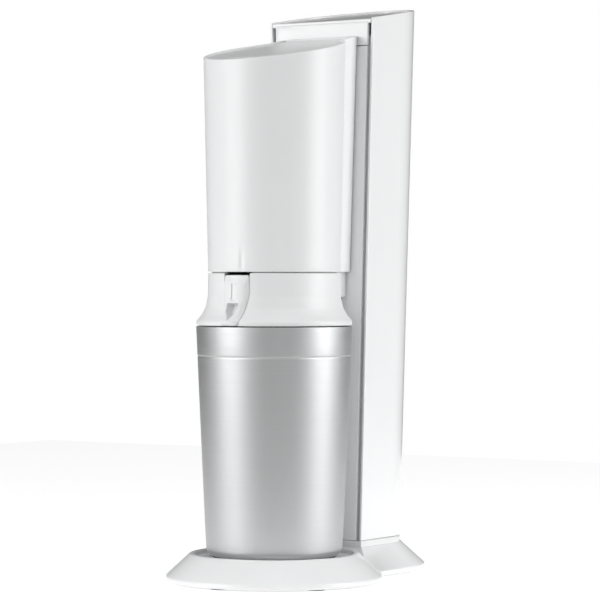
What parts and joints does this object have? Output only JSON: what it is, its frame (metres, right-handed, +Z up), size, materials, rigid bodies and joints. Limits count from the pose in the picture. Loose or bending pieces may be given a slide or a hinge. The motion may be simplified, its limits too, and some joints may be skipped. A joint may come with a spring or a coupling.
{
  "type": "soda carbonator",
  "caption": "Upright soda carbonator with a round foot, a steel canister holding a glass carafe, a lifting head with a press-down top and a tower that hides a gas cylinder.",
  "frame": {"origin": "under the middle of the machine's footprint, on the surface that it stands on", "axes": "+Z up, -Y towards the front with the canister, +X to the right as seen by someone facing the machine's front"},
  "size_m": [0.156, 0.239, 0.4217],
  "materials": {
    "white_gloss": "gloss white moulded plastic",
    "head_white": "gloss white moulded plastic",
    "plate_white": "high gloss white plastic",
    "foot_white": "gloss white moulded plastic",
    "panel_grey": "satin light grey-white plastic",
    "dark_inner": "dark grey moulded plastic",
    "frame_grey": "glass-filled grey plastic",
    "bush_polymer": "acetal",
    "rubber_black": "moulded rubber",
    "hose_black": "smooth hose",
    "screw_steel": "zinc plated steel",
    "ground_steel": "ground stainless rod",
    "spring_steel": "spring wire",
    "brushed_canister": "fine vertical brush, stainless",
    "cylinder_aluminium": "brushed and lacquered aluminium",
    "brass": "turned brass",
    "clear_glass": "clear glass"
  },
  "bodies": {
    "tower": {"base_shell": "foot_white", "base_underplate": "dark_inner", "rubber_feet": "rubber_black", "base_screws": "screw_steel", "seat_pad": "rubber_black", "tower_chassis": "frame_grey", "chassis_screws": "screw_steel", "panel_screws": "screw_steel", "front_panel": "panel_grey", "top_cap": "white_gloss", "guide_rod_left": "ground_steel", "guide_rod_right": "ground_steel", "lift_buffers": "rubber_black", "lift_spring_left": "spring_steel", "lift_spring_right": "spring_steel", "valve_block": "frame_grey", "outlet_fitting": "brass", "safety_valve": "brass", "valve_lever_pin": "screw_steel", "cylinder_gasket": "rubber_black", "plunger_spring": "spring_steel", "pull_rod_guide": "frame_grey", "gas_hose": "hose_black"},
    "head": {"head_body": "white_gloss", "head_front_cover": "head_white", "plate_pin": "screw_steel", "plate_spring": "spring_steel", "transfer_lever_pin": "screw_steel", "nozzle_holder": "dark_inner", "nozzle_tube": "dark_inner", "nozzle_tip": "dark_inner", "bottle_seal": "rubber_black", "seal_retainer": "dark_inner", "relief_valve": "brass", "gas_pipe": "ground_steel", "carriage": "frame_grey", "carriage_screws": "screw_steel", "bushes_left": "bush_polymer", "bushes_right": "bush_polymer", "latch_pin": "screw_steel", "claw_pins": "screw_steel"},
    "plate": {"press_plate": "plate_white"},
    "push_link": {"push_rod": "frame_grey"},
    "lever": {"transfer_lever": "frame_grey"},
    "pull_link": {"pull_rod": "ground_steel"},
    "valve_arm": {"valve_lever": "screw_steel"},
    "plunger": {"valve_plunger": "screw_steel"},
    "latch": {"latch_lever": "white_gloss"},
    "claw_left": {"lock_claw_left": "dark_inner"},
    "claw_right": {"lock_claw_right": "dark_inner"},
    "cover": {"rear_cover": "white_gloss"},
    "button": {"cover_button": "panel_grey"},
    "cylinder": {"co2_cylinder": "cylinder_aluminium", "cylinder_valve": "brass"},
    "canister": {"steel_canister": "brushed_canister", "canister_cushion": "rubber_black", "glass_carafe": "clear_glass"}
  },
  "joints": [
    {"name": "head_lift", "type": "slide", "parent": "tower", "child": "head", "axis": [0, 0, 1], "range_m": [0, 0.13], "deforming": ["lift_spring_left", "lift_spring_right", "gas_hose"]},
    {"name": "press_plate_hinge", "type": "hinge", "parent": "head", "child": "plate", "pos_m": [0, 0.0112, 0.38822], "axis": [1, 0, 0], "range_deg": [0, 6], "stiffness_Nm_per_rad": 1, "springref_deg": -4.58, "deforming": ["plate_spring"]},
    {"name": "push_rod_slide", "type": "slide", "parent": "head", "child": "push_link", "axis": [0, 0, -1], "range_m": [0, 0.0019]},
    {"name": "transfer_lever_hinge", "type": "hinge", "parent": "head", "child": "lever", "pos_m": [0.0055, -0.0265, 0.2825], "axis": [-1, 0, 0], "range_deg": [0, 5.4]},
    {"name": "pull_rod_slide", "type": "slide", "parent": "tower", "child": "pull_link", "axis": [0, 0, -1], "range_m": [0, 0.0054]},
    {"name": "valve_lever_hinge", "type": "hinge", "parent": "tower", "child": "valve_arm", "pos_m": [0, 0.0805, 0.3945], "axis": [1, 0, 0], "range_deg": [0, 6.3]},
    {"name": "valve_plunger_slide", "type": "slide", "parent": "tower", "child": "plunger", "axis": [0, 0, -1], "range_m": [0, 0.0019], "deforming": ["plunger_spring"]},
    {"name": "latch_hinge", "type": "hinge", "parent": "head", "child": "latch", "pos_m": [0, -0.0846, 0.2145], "axis": [-1, 0, 0], "range_deg": [0, 50], "stiffness_Nm_per_rad": 0.02, "springref_deg": -17.19},
    {"name": "left_claw_hinge", "type": "hinge", "parent": "head", "child": "claw_left", "pos_m": [-0.0442, -0.0415, 0.192], "axis": [0, -1, 0], "range_deg": [0, 1.5]},
    {"name": "right_claw_hinge", "type": "hinge", "parent": "head", "child": "claw_right", "pos_m": [0.0442, -0.0415, 0.192], "axis": [0, 1, 0], "range_deg": [0, 1.5]},
    {"name": "rear_cover_slide", "type": "slide", "parent": "tower", "child": "cover", "axis": [0, 1, 0], "range_m": [0, 0.12]},
    {"name": "cover_button_slide", "type": "slide", "parent": "cover", "child": "button", "axis": [0, -1, 0], "range_m": [0, 0.002], "stiffness_N_per_m": 400, "springref_m": -0.001},
    {"name": "cylinder_turn", "type": "hinge", "parent": "tower", "child": "cylinder", "pos_m": [0, 0.0635, 0.2], "axis": [0, 0, 1], "range_deg": [0, 900]},
    {"name": "canister_turn", "type": "hinge", "parent": "tower", "child": "canister", "pos_m": [0, -0.0415, 0.1], "axis": [0, 0, 1], "continuous": true}
  ],
  "couplings": [
    {"joint": "push_rod_slide", "follows": "press_plate_hinge", "m_per_rad": 0.0177},
    {"joint": "transfer_lever_hinge", "follows": "press_plate_hinge", "ratio": 0.885},
    {"joint": "pull_rod_slide", "follows": "press_plate_hinge", "m_per_rad": 0.05133},
    {"joint": "valve_lever_hinge", "follows": "press_plate_hinge", "ratio": 1.0476},
    {"joint": "valve_plunger_slide", "follows": "press_plate_hinge", "m_per_rad": 0.017808},
    {"joint": "left_claw_hinge", "follows": "latch_hinge", "ratio": 0.029},
    {"joint": "right_claw_hinge", "follows": "latch_hinge", "ratio": 0.029}
  ]
}
